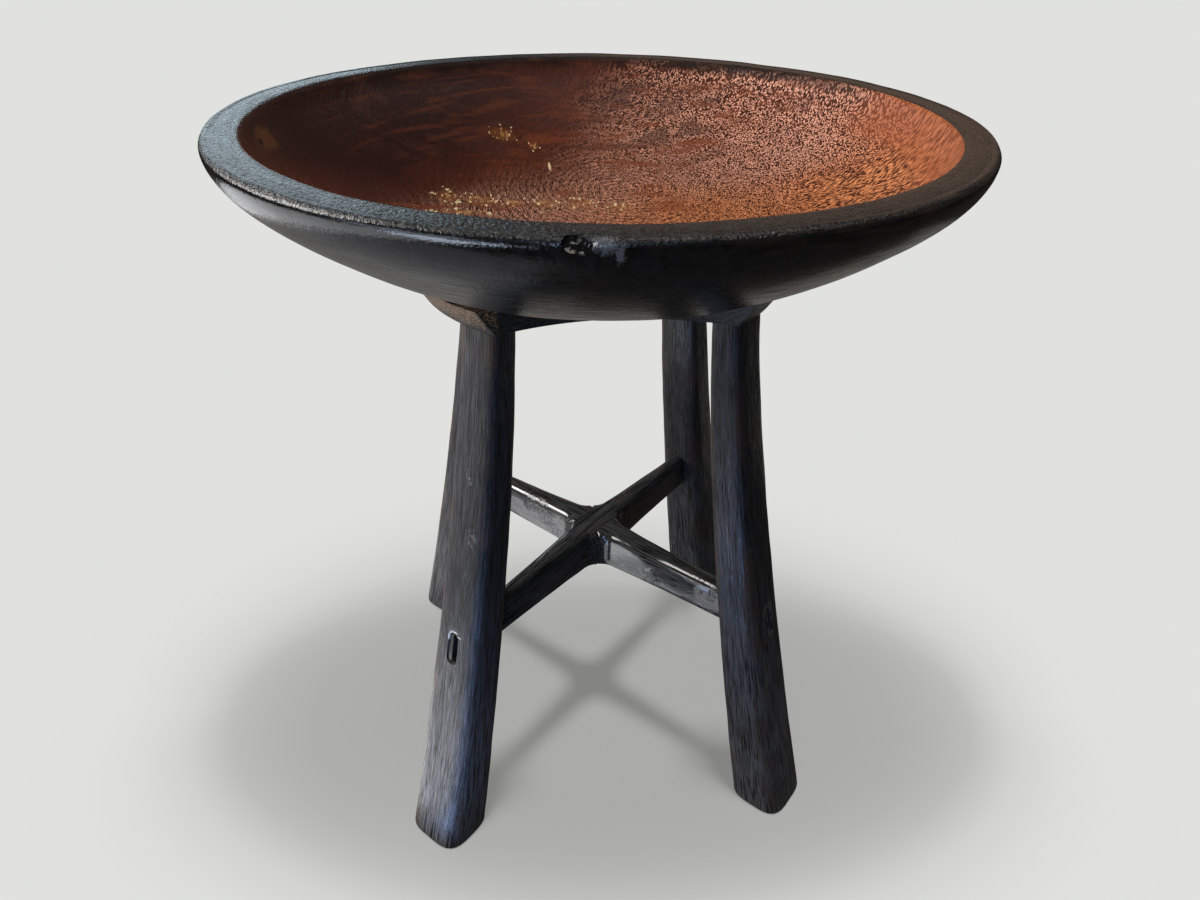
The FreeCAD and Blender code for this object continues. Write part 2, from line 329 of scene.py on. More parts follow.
def oval_outline(depth, width, squareness, middle, level):
    """Level ring of a leg: a square whose corners are rounded until they meet."""
    clear_selection()
    bpy.ops.mesh.primitive_plane_add(size=1)
    ring = bpy.context.object
    bpy.ops.object.mode_set(mode="EDIT")
    bpy.ops.mesh.select_all(action="SELECT")
    roundness = 2 ** (-2 / squareness)
    bpy.ops.mesh.bevel(affect="VERTICES", offset=0.4999, offset_type="OFFSET", segments=10, profile=roundness)
    bpy.ops.mesh.select_all(action="SELECT")
    bpy.ops.mesh.remove_doubles(threshold=0.001)
    bpy.ops.transform.resize(value=(depth, width, 1), center_override=(0, 0, 0))
    bpy.ops.transform.translate(value=(middle, 0, level))
    bpy.ops.mesh.delete(type="ONLY_FACE")
    bpy.ops.object.mode_set(mode="OBJECT")
    return ring


def leg_blank():
    """Leg along +X without its mortise: foot and head rings bridged, then bowed outwards."""
    foot = oval_outline(leg_foot_depth, leg_foot_width, leg_foot_squareness, leg_foot_radius, 0)
    head = oval_outline(leg_top_depth, leg_top_width, leg_top_squareness, leg_top_radius, leg_height)
    clear_selection()
    head.select_set(True)
    foot.select_set(True)
    bpy.context.view_layer.objects.active = foot
    bpy.ops.object.join()
    leg = bpy.context.object
    open_for_editing(leg)
    bpy.ops.mesh.select_all(action="SELECT")
    bpy.ops.mesh.bridge_edge_loops(number_cuts=leg_rings - 1, interpolation="LINEAR")
    bpy.ops.mesh.select_all(action="SELECT")
    bpy.ops.mesh.fill_holes(sides=0)
    for ring in range(1, leg_rings):
        level = leg_height * ring / leg_rings
        straight = leg_foot_radius + (leg_top_radius - leg_foot_radius) * ring / leg_rings
        select_points(leg, lambda co: abs(co.z - level) < 0.001)
        bpy.ops.transform.translate(value=(leg_middle(level) - straight, 0, 0))
    close_editing()
    bevel_edges(leg, lambda one, two: max(one.z, two.z) < same_place, leg_foot_round, 4)
    apply_modifier(leg, "SUBSURF", subdivision_type="SIMPLE", levels=2, render_levels=2)
    make_uneven(leg, *leg_swell)
    return leg


def copy_of(piece):
    select_only(piece)
    bpy.ops.object.duplicate()
    return bpy.context.object


def shape_leg(name, blank, angle, shift):
    """Leg with its mortise, turned to its corner; it carries its own grain, its wear and a painted highlight
    at the upper end of its slot.
    """
    leg = copy_of(blank)
    leg.name = name + "_shaped_leg"
    inside = leg_middle(tenon_level) - leg_depth(tenon_level)
    outside = leg_middle(tenon_level) + leg_depth(tenon_level) / 2
    lip_start = outside - mortise_lip_depth
    cut_away(leg, slot_bar("mortise", mortise_width, mortise_height, inside, lip_start, mortise_lip))
    keep_coordinates(leg, "grain", lambda co: (co.x - leg_middle(co.z) + shift, co.y + shift, co.z + shift))

    def wear_and_highlight_marks(co):
        out = (co.x - leg_middle(co.z)) / leg_depth(co.z)
        side = abs(co.y) / leg_width(co.z)
        edge = rising(abs(out) + side, 0.72, 0.82)
        foot = 0.5 * falling(co.z, foot_wear_height)
        beside_slot = max(0.0, abs(co.y) - mortise_width / 2)
        past_slot_end = max(0.0, abs(co.z - tenon_level) - mortise_height / 2)
        at_upper_end = co.z > tenon_level + mortise_height * 0.3
        on_outer_face = out > 0.3
        # Wear around the mortise, with a painted highlight where it is strongest, at the slot's upper end
        slot_wear_and_highlight = 2.2 if at_upper_end else 0.7
        slot = slot_wear_and_highlight * falling(math.hypot(beside_slot, past_slot_end), slot_wear_and_highlight_reach)
        return (edge, foot, slot if on_outer_face else 0.0)

    keep_coordinates(leg, "wear_and_highlight", wear_and_highlight_marks)
    turn_about_axis(leg, angle)
    return leg


def rail_half_width(x):
    """Half the width of a rail at a distance from the crossing, hollow in the corner."""
    share = min(1.0, max(0.0, (x - rail_hub) / (leg_middle(tenon_level) - rail_hub)))
    width = rail_end_width + (rail_middle_width - rail_end_width) * (1 - share) ** rail_flare
    into_corner = min(rail_corner_radius, max(0.0, rail_hub + rail_corner_radius - x))
    hollow = rail_corner_radius - math.sqrt(rail_corner_radius ** 2 - into_corner ** 2)
    return min(x, width / 2 + hollow)


def rail_top(x):
    share = max(0.0, (abs(x) - rail_hub) / (leg_middle(tenon_level) - rail_hub))
    return rail_top_level - rail_end_drop * share


def shape_rail(name, blank, angle, over, shift):
    """Rail drawn as a strip along X and raised, with rounded edges, its halving and its tenons."""
    reach = leg_middle(tenon_level)
    mitre = rail_hub + rail_corner_radius * (1 - math.sqrt(0.5))
    corner_end = rail_hub + rail_corner_radius
    corner = [mitre + (corner_end - mitre) * step / 8 for step in range(9)]
    arm = [corner_end + (reach - corner_end) * step / 10 for step in range(1, 11)]
    half = [rail_hub] + corner + arm
    stations = [-x for x in reversed(half)] + half
    clear_selection()
    bpy.ops.mesh.primitive_plane_add(size=1)
    rail = bpy.context.object
    rail.name = name
    bpy.ops.object.mode_set(mode="EDIT")
    bpy.ops.mesh.select_all(action="SELECT")
    length = stations[1] - stations[0]
    width = 2 * rail_half_width(reach)
    bpy.ops.transform.resize(value=(length, width, 1), center_override=(0, 0, 0))
    bpy.ops.transform.translate(value=(stations[0] + length / 2, 0, rail_bottom_level))
    select_points(rail, lambda co: co.x > stations[0] + length / 2)
    for place, x in zip(stations[1:], stations[2:]):
        new_width = 2 * rail_half_width(abs(x))
        bpy.ops.mesh.extrude_region_move(TRANSFORM_OT_translate={"value": (x - place, 0, 0)})
        bpy.ops.transform.resize(value=(1, new_width / width, 1), center_override=(x, 0, 0))
        width = new_width
    bpy.ops.mesh.select_all(action="SELECT")
    bpy.ops.mesh.extrude_region_move(TRANSFORM_OT_translate={"value": (0, 0, rail_middle_height)})
    for x in arm:
        select_points(rail, lambda co: abs(abs(co.x) - x) < same_place and co.z > lap_level)
        bpy.ops.transform.translate(value=(0, 0, rail_top(x) - rail_top_level))
    close_editing()

    def along_arm(one, two, upper):
        at_level = min(one.z, two.z) > lap_level if upper else max(one.z, two.z) < lap_level
        same_side = one.y * two.y > 0 and abs(one.x - two.x) > same_place
        return at_level and same_side and min(abs(one.x), abs(two.x)) > mitre - same_place

    bevel_edges(rail, lambda one, two: along_arm(one, two, True), rail_upper_round, 5)
    bevel_edges(rail, lambda one, two: along_arm(one, two, False), rail_lower_round, 3)
    apply_modifier(rail, "SUBSURF", subdivision_type="SIMPLE", levels=2, render_levels=2)
    make_uneven(rail, *rail_swell)
    low = rail_bottom_level - halving_overlap if over else lap_level - glue_line
    high = lap_level if over else rail_top_level + halving_overlap
    clear_selection()
    bpy.ops.mesh.primitive_cube_add(size=1, location=(0, 0, (low + high) / 2))
    halving = bpy.context.object
    halving.scale = (rail_middle_width + 2 * glue_line, 3 * rail_middle_width, high - low)
    bpy.ops.object.transform_apply(location=True, scale=True)
    cut_away(rail, halving)
    for end in (0, 180):
        scribe = copy_of(blank)
        turn_about_axis(scribe, end)
        cut_away(rail, scribe)
        tenon = tenon_piece(blank)
        turn_about_axis(tenon, end)
        apply_modifier(rail, "BOOLEAN", operation="UNION", solver="EXACT", object=tenon)
        bpy.data.objects.remove(tenon)
    keep_coordinates(rail, "grain", lambda co: (co.z + shift, co.y + shift, co.x + shift))

    def wear_and_highlight_marks(co):
        side = abs(co.y) / max(0.001, rail_half_width(max(rail_hub, abs(co.x))))
        height = (co.z - rail_bottom_level) / (rail_top(co.x) - rail_bottom_level)
        edge = rising(side, 0.55, 1.0) * rising(height, 0.82, 1.0)
        hub = falling(abs(co.x), hub_wear_reach) * rising(height, 0.9, 1.0)
        return (max(edge, hub), 0, 0)

    keep_coordinates(rail, "wear_and_highlight", wear_and_highlight_marks)
    turn_about_axis(rail, angle)
    return rail


def tenon_piece(blank):
    """Through tenon along +X beside its wedge, its end following the leg's face and set back."""
    start = leg_middle(tenon_level) - leg_depth(tenon_level) / 2 - tenon_root
    end = leg_middle(tenon_level) + leg_depth(tenon_level)
    tenon = slot_bar("tenon", tenon_end_width, mortise_height - 2 * glue_line, start, end)
    offset = (mortise_width - tenon_end_width) / 2 - glue_line
    sunk = copy_of(blank)
    sunk.location = (-tenon_recess, 0, 0)
    tenon.location = (0, -offset, 0)
    bpy.context.view_layer.update()
    block = (5 * mortise_width, 2 * mortise_height)
    outer = slot_bar("outer_half", *block, leg_middle(tenon_level), end + cutter_overlap)
    apply_modifier(outer, "BOOLEAN", operation="DIFFERENCE", solver="EXACT", object=sunk)
    apply_modifier(tenon, "BOOLEAN", operation="DIFFERENCE", solver="EXACT", object=outer)
    bpy.data.objects.remove(sunk)
    bpy.data.objects.remove(outer)
    return tenon


def shape_plate():
    """Round board sloping in below, hollowed at front and back, with countersunk holes underneath."""
    clear_selection()
    middle = (0, 0, leg_height + plate_thickness / 2 - glue_line / 2)
    bpy.ops.mesh.primitive_cone_add(
        vertices=plate_sides, radius1=plate_lower_radius, radius2=plate_radius,
        depth=plate_thickness - glue_line, location=middle,
    )
    plate = bpy.context.object
    plate.name = "shaped_bearer_plate"
    bpy.ops.object.transform_apply(location=True)
    for side in (-1, 1):
        clear_selection()
        bpy.ops.mesh.primitive_cylinder_add(
            vertices=hollow_sides, radius=plate_hollow_radius, depth=2 * plate_thickness,
            location=(0, side * (plate_waist + plate_hollow_radius), middle[2]),
        )
        cut_away(plate, bpy.context.object)
    sharp = math.radians(50)
    apply_modifier(plate, "BEVEL", width=plate_round, segments=4, limit_method="ANGLE", angle_limit=sharp)
    for quarter in range(4):
        turn = math.radians(90 * quarter)
        x = screw_circle_radius * math.cos(turn)
        y = screw_circle_radius * math.sin(turn)
        clear_selection()
        bpy.ops.mesh.primitive_cone_add(
            vertices=32, radius1=countersink_radius, radius2=screw_hole_radius, depth=countersink_depth,
            location=(x, y, leg_height + countersink_depth / 2 - countersink_overlap),
        )
        cut_away(plate, bpy.context.object)
    keep_coordinates(plate, "grain", lambda co: (co.y, co.z, co.x))

    # Painted tan highlight along the upper edge on the plate's left side, in the second channel
    def wear_and_highlight_marks(co):
        upper_edge = 3 * falling(plate_top - co.z, plate_highlight_height)
        on_left_rim = co.x < 0 and math.hypot(co.x, co.y) > plate_lower_radius
        return (0, upper_edge if on_left_rim else 0.0, 0)

    keep_coordinates(plate, "wear_and_highlight", wear_and_highlight_marks)
    return plate


def make_node(material, kind, inputs=None, **settings):
    """Node with its settings; an input is a value or the socket that feeds it."""
    node = material.node_tree.nodes.new(kind)
    for name, value in settings.items():
        setattr(node, name, value)
    for name, value in (inputs or {}).items():
        if isinstance(value, bpy.types.NodeSocket):
            material.node_tree.links.new(value, node.inputs[name])
        else:
            node.inputs[name].default_value = value
    return node


def stretched(material, vector, scale, location=(0, 0, 0)):
    inputs = {"Vector": vector, "Scale": scale, "Location": location}
    return make_node(material, "ShaderNodeMapping", inputs).outputs["Vector"]


def noise(material, vector, scale, detail=3.0, roughness=0.55, distortion=0.0):
    inputs = {
        "Vector": vector, "Scale": scale, "Detail": detail, "Roughness": roughness, "Distortion": distortion,
    }
    return make_node(material, "ShaderNodeTexNoise", inputs).outputs["Fac"]


def cells(material, vector):
    """One at the middle of each of many scattered cells, falling off to its borders."""
    inputs = {"Vector": vector, "Scale": 1.0}
    distance = make_node(material, "ShaderNodeTexVoronoi", inputs).outputs["Distance"]
    return calculate(material, "SUBTRACT", 1.0, distance)


def ramp(material, factor, stops):
    node = make_node(material, "ShaderNodeValToRGB", {"Fac": factor})
    elements = node.color_ramp.elements
    while len(elements) < len(stops):
        elements.new(0.5)
    for element, (position, shade) in zip(elements, stops):
        colour = (shade, shade, shade) if isinstance(shade, (int, float)) else shade
        element.position = position
        element.color = (*colour, 1)
    return node.outputs["Color"]


def mixed(material, factor, first, second):
    """Blend of two colours, each given as a colour or as the socket that feeds it."""
    first, second = (
        colour if isinstance(colour, bpy.types.NodeSocket) else (*colour, 1) for colour in (first, second)
    )
    inputs = {0: factor, 6: first, 7: second}
    return make_node(material, "ShaderNodeMix", inputs, data_type="RGBA").outputs[2]


def calculate(material, operation, first, second=0.0, third=0.0, clamp=False):
    inputs = {0: first, 1: second, 2: third}
    return make_node(material, "ShaderNodeMath", inputs, operation=operation, use_clamp=clamp).outputs[0]


def product(material, first, second):
    return calculate(material, "MULTIPLY", first, second)


def larger(material, first, second):
    return calculate(material, "MAXIMUM", first, second)


def summed(material, first, factor, second):
    """The first value times a factor, plus the second."""
    return calculate(material, "MULTIPLY_ADD", first, factor, second)


def tinted(material, base, mask, share, tint):
    """Base colour turned towards a tint by a share of a mask."""
    return mixed(material, product(material, mask, share), base, tint)


def own_place(material):
    return make_node(material, "ShaderNodeTexCoord").outputs["Object"]


def split(material, vector):
    return make_node(material, "ShaderNodeSeparateXYZ", {"Vector": vector}).outputs


def joined(material, x, y, z=0.0):
    return make_node(material, "ShaderNodeCombineXYZ", {"X": x, "Y": y, "Z": z}).outputs["Vector"]


def vector_math(material, operation, first, second):
    inputs = {0: first, 1: second}
    return make_node(material, "ShaderNodeVectorMath", inputs, operation=operation).outputs[0]


def length_of(material, vector):
    return make_node(material, "ShaderNodeVectorMath", {0: vector}, operation="LENGTH").outputs["Value"]


def round_axis(material, vector):
    """Turn about the upright axis and distance from it."""
    parts = split(material, vector)
    turn = calculate(material, "ARCTAN2", parts["Y"], parts["X"])
    return turn, length_of(material, stretched(material, vector, (1, 1, 0)))


def bumped(material, height, strength, distance):
    inputs = {"Height": height, "Strength": strength, "Distance": distance}
    return make_node(material, "ShaderNodeBump", inputs).outputs["Normal"]


def start_material(name):
    material = bpy.data.materials.new(name)
    material.use_nodes = True
    return material, material.node_tree.nodes["Principled BSDF"]


def feed(material, shader, **sockets):
    """Link sockets to the shader; a name's underscores stand for spaces."""
    for name, socket in sockets.items():
        material.node_tree.links.new(socket, shader.inputs[name.replace("_", " ")])


def spot(material, place, centre, reach, ragged=None):
    """Mask that is full at a place and fades out at a reach along each axis."""
    scale = tuple(1 / size for size in reach)
    offset = vector_math(material, "SUBTRACT", place, centre)
    distance = length_of(material, vector_math(material, "MULTIPLY", offset, scale))
    if ragged is not None:
        distance = calculate(material, "ADD", distance, ragged)
    return ranged(material, distance, 1.0, 0.45)


def ranged(material, value, low, high):
    """Rise from nothing to full between two values."""
    inputs = {"Value": value, "From Min": low, "From Max": high}
    node = make_node(material, "ShaderNodeMapRange", inputs, interpolation_type="SMOOTHSTEP")
    return node.outputs["Result"]


def ragged_by(material, pattern, strength=1.4):
    """Shift for a spot's edge that makes it ragged."""
    return product(material, calculate(material, "SUBTRACT", pattern, 0.5), strength)


def blackened_wood(name, sheen, gloss, pale, line_depth, worm_depth, dull, bare_and_highlight):
    """Ebonised wood whose grain follows each stick, rubbed brown at its edges; painted light makes it paler
    at the feet, and painted highlights mark the slots' upper ends and the plate's upper left edge.
    """
    material, shader = start_material(name)
    place = own_place(material)
    height = split(material, place)["Z"]
    grain = make_node(material, "ShaderNodeAttribute", attribute_name="grain").outputs["Vector"]
    wear_and_highlight = make_node(material, "ShaderNodeAttribute", attribute_name="wear_and_highlight").outputs["Vector"]
    wear_and_highlight_marks = split(material, wear_and_highlight)
    streaks = noise(material, stretched(material, grain, (800, 800, 22)), 1.0, 4.0, 0.68, 0.35)
    dashes = noise(material, stretched(material, grain, (1300, 1300, 40)), 1.0, 2.0, 0.6, 0.2)
    worms = noise(material, stretched(material, grain, (190, 190, 120)), 1.0, 3.0, 0.6, 1.6)
    clouds = noise(material, grain, 18.0, 3.0, 0.6)
    broad = noise(material, stretched(material, grain, (120, 120, 5)), 1.0, 2.0, 0.6, 0.4)
    tone = ramp(material, streaks, [(0.38, 0.05 * pale), (0.64, (1.15 * pale, 1.12 * pale, 1.2 * pale))])
    pitted = mixed(material, ranged(material, dashes, 0.46, 0.38), tone, (0.003, 0.003, 0.003))
    # Painted light: paler towards the feet, where the legs below the bowl catch more light
    low = product(material, ranged(material, height, 0.33, 0.0), ranged(material, streaks, 0.38, 0.58))
    lit_towards_feet = tinted(material, pitted, low, 0.8, (0.18, 0.178, 0.184))
    brown = (0.5 * pale, 0.3 * pale, 0.22 * pale)
    browned = mixed(material, ramp(material, clouds, [(0.5, 0.0), (0.78, 0.55)]), lit_towards_feet, brown)
    rub = product(material, wear_and_highlight_marks["X"], ranged(material, clouds, 0.42, 0.7))
    rubbed_brown = (1.5 * pale, 0.87 * pale, 0.62 * pale)
    rubbed = tinted(material, browned, rub, 0.7, rubbed_brown)
    # Second channel: wear at the legs' feet, and the painted tan highlight on the plate's upper edge
    crumbs = ranged(material, dashes, 0.50, 0.62)
    foot = product(material, wear_and_highlight_marks["Y"], crumbs)
    slot = product(material, wear_and_highlight_marks["Z"], crumbs)
    knot = spot(material, grain, (0.017, 0.0018, 0.371), (0.012, 0.006, 0.012), ragged_by(material, worms))
    dent = spot(material, grain, (0.018, 0.009, 0.321), (0.012, 0.008, 0.012), ragged_by(material, worms))
    bruised = larger(material, knot, dent)
    bruise_share = product(material, bruised, ranged(material, worms, 0.5, 0.62))
    # Bare wood at wear and bruises, and painted highlights at the slots and on the plate's edge
    wear_and_highlight_share = calculate(material, "MAXIMUM", larger(material, foot, slot), bruise_share, clamp=True)
    worn_and_highlighted = tinted(material, rubbed, wear_and_highlight_share, 0.75, bare_and_highlight)
    # Painted highlights: near-white glints on the splinters above each slot
    splinter_glints = (
        ((0.0214, -0.0052, 0.2205), (0.008, 0.0014, 0.0042)),
        ((0.0214, 0.0005, 0.2272), (0.008, 0.0045, 0.0010)),
        ((0.0214, 0.0062, 0.2245), (0.008, 0.0030, 0.0007)),
        ((0.0214, -0.0035, 0.2252), (0.008, 0.0012, 0.0020)),
    )
    splinter_glint_edge = ragged_by(material, dashes)
    chip = 0.0
    for centre, reach in splinter_glints:
        chip = larger(material, chip, spot(material, grain, centre, reach, splinter_glint_edge))
    colour = tinted(material, worn_and_highlighted, chip, 0.9, (0.75, 0.76, 0.80))
    groove_rough = sheen + 250 * line_depth
    pit_share = min(1.0, 1700 * line_depth)
    fine_rough = ramp(material, streaks, [(0.3, groove_rough), (0.7, sheen)])
    dull_bands = product(material, ranged(material, broad, 0.46, 0.60), dull)
    banded = mixed(material, dull_bands, fine_rough, (0.62, 0.62, 0.62))
    pits = product(material, ranged(material, dashes, 0.49, 0.40), pit_share)
    rough = mixed(material, pits, banded, (0.95, 0.95, 0.95))
    lines = product(material, calculate(material, "ADD", streaks, dashes), line_depth)
    worm_patches = product(material, ranged(material, clouds, 0.50, 0.62), worm_depth)
    worm_share = summed(material, bruised, 0.001, worm_patches)
    relief = summed(material, worms, worm_share, lines)
    feed(material, shader, Base_Color=colour, Roughness=rough, Normal=bumped(material, relief, 1.0, 1.0))
    shader.inputs["Specular IOR Level"].default_value = gloss
    return material


def blackened_bowl():
    """Ebonised outside of the bowl, pored along the rim, smoother below it, and browner to the right as a
    painted warm reflection.
    """
    material, shader = start_material("blackened_bowl")
    place = own_place(material)
    parts = split(material, place)
    pores = noise(material, stretched(material, place, (400, 300, 400)), 1.0, 3.0, 0.62, 0.5)
    streaks = noise(material, stretched(material, place, (150, 10, 150)), 1.0, 4.0, 0.6, 0.3)
    clouds = noise(material, place, 12.0, 3.0, 0.6)
    turn, radius = round_axis(material, place)
    round_place = joined(
        material, product(material, turn, 9.0), product(material, radius, 330.0),
        product(material, parts["Z"], 260.0),
    )
    strokes = noise(material, round_place, 1.0, 4.0, 0.62, 0.5)
    tone = ramp(material, streaks, [(0.35, (0.003, 0.003, 0.0035)), (0.7, (0.012, 0.0115, 0.012))])
    # Painted warm reflection: the upper part of the outside turns brown towards the right, along the carving
    # strokes
    right = ranged(material, parts["X"], -0.05, 0.22)
    top = ranged(material, parts["Z"], table_height - 0.02, table_height - 0.004)
    brown = product(material, right, product(material, top, 0.8))
    stroke_tone = ramp(material, strokes, [(0.40, (0.008, 0.005, 0.004)), (0.62, (0.066, 0.038, 0.024))])
    warm = mixed(material, brown, tone, stroke_tone)
    browned = mixed(material, ramp(material, clouds, [(0.5, 0.0), (0.8, 0.4)]), warm, (0.018, 0.010, 0.007))
    ragged = ragged_by(material, pores, 1.6)
    flecks = (
        ((-0.0345, -0.2795, 0.6135), (0.009, 0.007, 0.006), ragged),
        ((-0.027, -0.281, 0.608), (0.003, 0.006, 0.007), ragged),
        ((-0.1435, -0.2418, 0.594), (0.002, 0.002, 0.003), None),
        ((0.060, -0.2745, 0.598), (0.002, 0.002, 0.002), None),
    )
    pale = 0.0
    for centre, reach, outline in flecks:
        pale = larger(material, pale, spot(material, place, centre, reach, outline))
    colour = tinted(material, browned, pale, 0.6, (0.16, 0.165, 0.18))
    flat_top = ranged(material, parts["Z"], table_height - 0.004, table_height - 0.0015)
    below_top = calculate(material, "SUBTRACT", 1.0, flat_top)
    near_top = ranged(material, parts["Z"], table_height - 0.018, table_height - 0.008)
    edge = product(material, near_top, below_top)
    rough = mixed(material, edge, ramp(material, strokes, [(0.35, 0.20), (0.65, 0.36)]), (0.12, 0.12, 0.12))
    relief = mixed(material, 0.35, pores, strokes)
    strength = summed(material, flat_top, 0.85, 0.15)
    normal = bumped(material, relief, strength, 0.0022)
    feed(material, shader, Base_Color=colour, Roughness=rough, Normal=normal)
    shader.inputs["Specular IOR Level"].default_value = 0.55
    return material


def oiled_bowl():
    """Oiled red-brown inside: growth rings about an upright log, its fibres seen end on as close specks;
    painted shade darkens it to the back and left, painted light brightens it to the front and right, and
    golden glints are painted highlights.
    """
    material, shader = start_material("oiled_bowl")
    place = own_place(material)
    parts = split(material, place)
    turn, radius = round_axis(material, place)
    sway = noise(material, stretched(material, place, (9, 5, 9)), 1.0, 3.0, 0.55)
    bands = noise(material, stretched(material, place, (13, 40, 40)), 1.0, 4.0, 0.6, 0.8)
    log = stretched(material, place, (1, 0.7, 1), (-0.022, -0.048, 0))
    log_turn, log_radius = round_axis(material, log)
    waved = summed(material, sway, 0.03, log_radius)
    ring_phase = summed(material, waved, 1020.0, product(material, sway, 30.0))
    ring_wave = calculate(material, "SINE", ring_phase)
    rings = summed(material, ring_wave, 0.5, 0.5)
    along_ring = product(material, log_turn, log_radius)
    ring_rows = joined(material, product(material, along_ring, 840.0), product(material, waved, 960.0))
    end_specks = cells(material, ring_rows)
    up_wall = joined(material, product(material, turn, 185.0), product(material, radius, 290.0))
    wall_specks = cells(material, up_wall)
    drift = summed(material, sway, 0.16, parts["Y"])
    right_wall = product(material, ranged(material, radius, 0.12, 0.19), ranged(material, drift, 0.14, 0.06))
    specks = mixed(material, right_wall, end_specks, wall_specks)
    # Painted light and shade: the inside is painted dark towards the back and left, where the left rim shades
    # the hollow, and light towards the front and right, where the light falls
    across = summed(material, parts["X"], 2.0, 0.36)
    nearer = summed(material, parts["Y"], -1.6, across)
    painted_light_level = summed(material, sway, 0.34, nearer)
    shaded_wood_tone = ramp(material, painted_light_level, [
        (0.0, (0.040, 0.013, 0.010)), (0.18, (0.105, 0.027, 0.014)), (0.34, (0.13, 0.034, 0.016)),
        (0.60, (0.31, 0.088, 0.040)), (0.80, (0.40, 0.138, 0.080)), (1.0, (0.42, 0.140, 0.070)),
    ])
    shaded_pale_tone = ramp(material, painted_light_level, [
        (0.0, (0.055, 0.018, 0.014)), (0.18, (0.24, 0.075, 0.042)), (0.34, (0.90, 0.44, 0.29)),
        (0.60, (0.98, 0.51, 0.36)), (0.80, (0.94, 0.49, 0.35)), (1.0, (0.82, 0.35, 0.19)),
    ])
    warm = product(material, ranged(material, drift, 0.17, 0.06), ranged(material, parts["X"], -0.10, 0.08))
    wood = mixed(material, warm, shaded_wood_tone, (0.42, 0.115, 0.040))
    pale = mixed(material, warm, shaded_pale_tone, (0.95, 0.37, 0.15))
    lit = ranged(material, painted_light_level, 0.02, 0.34)
    ring_share = product(material, ranged(material, parts["X"], 0.14, 0.02), 0.085)
    ring_swing = calculate(material, "SUBTRACT", rings, 0.5)
    lifted = summed(material, ring_swing, ring_share, specks)
    # Dark pores and pale fibres of the end grain show only in the painted light; the fibres are painted paler
    # as the highlights their relief catches
    pore_mask = product(material, ranged(material, lifted, 0.50, 0.43), lit)
    pored = tinted(material, wood, pore_mask, 0.95, (0.026, 0.008, 0.005))
    fibre_mask = product(material, ranged(material, lifted, 0.53, 0.61), lit)
    speckled = tinted(material, pored, fibre_mask, 0.9, pale)
    ring_edge = product(material, ranged(material, rings, 0.80, 0.98), ring_share)
    ringed = tinted(material, speckled, ring_edge, 1.2, pale)
    middle = product(material, ranged(material, painted_light_level, 0.08, 0.22), ranged(material, painted_light_level, 0.72, 0.52))
    streak = product(material, ranged(material, bands, 0.56, 0.64), middle)
    streaked = tinted(material, ringed, streak, 0.8, (0.22, 0.054, 0.020))
    back = ranged(material, parts["Y"], 0.05, 0.17)
    gloom = product(material, ranged(material, bands, 0.46, 0.36), back)
    gloomy = tinted(material, streaked, gloom, 0.6, (0.075, 0.030, 0.024))
    hoop_place = joined(material, product(material, turn, 3.0), product(material, parts["Z"], 150.0))
    hoops = noise(material, hoop_place, 1.0, 4.0, 0.65, 0.6)
    hoop_share = product(material, ranged(material, hoops, 0.48, 0.64), back)
    hooped = tinted(material, gloomy, hoop_share, 0.5, (0.19, 0.050, 0.020))
    wall_side = product(
        material, ranged(material, parts["X"], 0.13, 0.19), ranged(material, parts["Y"], 0.10, 0.05),
    )
    smooth_wall = product(material, wall_side, ranged(material, radius, 0.225, 0.243))
    walled = tinted(material, hooped, smooth_wall, 0.6, (0.33, 0.082, 0.027))
    char_level = summed(material, bands, 0.03, parts["Z"])
    char = product(material, ranged(material, char_level, 0.619, 0.632), back)
    charred = mixed(material, char, walled, (0.020, 0.009, 0.006))
    # Painted highlights: golden glints of light, each with a painted warm halo, and one thin bright streak
    blobs = noise(material, stretched(material, place, (270, 110, 110)), 1.0, 2.0, 0.6, 0.4)
    glint_edge = product(material, calculate(material, "SUBTRACT", blobs, 0.55), -9.0)
    glints = (
        ((-0.121, 0.045), (0.009, 0.013)), ((-0.094, 0.043), (0.011, 0.012)),
        ((-0.109, 0.0095), (0.018, 0.006)), ((-0.066, 0.039), (0.008, 0.009)),
        ((-0.040, 0.038), (0.009, 0.011)), ((-0.012, 0.037), (0.012, 0.012)),
        ((0.020, 0.022), (0.010, 0.009)), ((-0.070, 0.182), (0.010, 0.007)),
        ((-0.042, 0.170), (0.004, 0.005)),
    )
    level_place = stretched(material, place, (1, 1, 0))
    glint_mask = 0.0
    glint_halo = 0.0
    for centre, reach in glints:
        glint = spot(material, level_place, (*centre, 0), (*reach, 1), glint_edge)
        glint_mask = larger(material, glint_mask, glint)
        around = spot(material, level_place, (*centre, 0), (1.6 * reach[0], 1.6 * reach[1], 1))
        glint_halo = larger(material, glint_halo, around)
    glint_streak = spot(material, place, (-0.030, 0.131, 0.543), (0.0016, 0.012, 0.01))
    glint_halo_tinted = tinted(material, charred, glint_halo, 0.35, (0.30, 0.105, 0.030))
    glint_tinted = tinted(material, glint_halo_tinted, glint_mask, 0.8, (0.50, 0.24, 0.08))
    glint_core = product(material, glint_mask, ranged(material, blobs, 0.60, 0.65))
    glinting = mixed(material, larger(material, glint_core, glint_streak), glint_tinted, (1.0, 0.81, 0.47))
    patch = spot(material, place, (-0.246, 0.0, 0.600), (0.014, 0.030, 0.012), ragged_by(material, bands))
    patched = tinted(material, glinting, patch, 0.7, (0.15, 0.062, 0.024))
